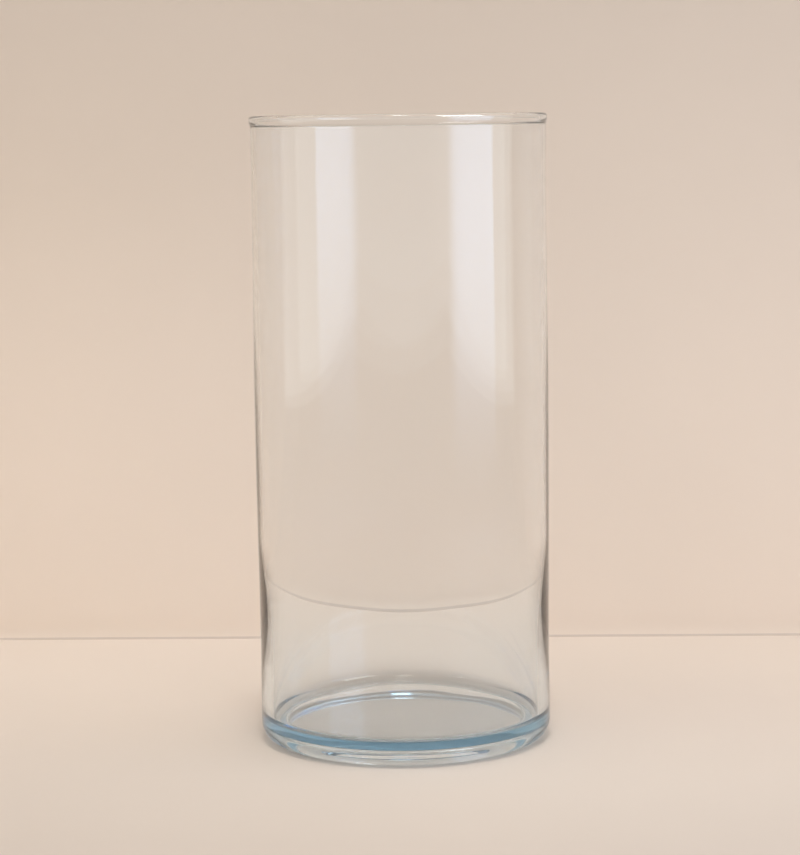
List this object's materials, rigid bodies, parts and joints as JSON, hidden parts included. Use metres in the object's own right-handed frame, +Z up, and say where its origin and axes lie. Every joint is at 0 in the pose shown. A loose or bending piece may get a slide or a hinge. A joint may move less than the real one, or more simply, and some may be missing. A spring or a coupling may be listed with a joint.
{
  "type": "glass cylinder vase",
  "caption": "Tall straight-sided clear glass cylinder vase with a rounded rim bead, a wall that thickens towards the base and a thick, hollowed glass base.",
  "frame": {"origin": "middle of the ring-shaped face that the vase stands on", "axes": "+Z up along the vase's own axis; the vase is a body of revolution, so +X and +Y are any two level directions"},
  "size_m": [0.109, 0.109, 0.231],
  "materials": {
    "clear_glass": "smooth clear soda-lime glass, faintly blue-green through its thickness"
  },
  "bodies": {
    "root": {"vase": "clear_glass"}
  },
  "joints": []
}
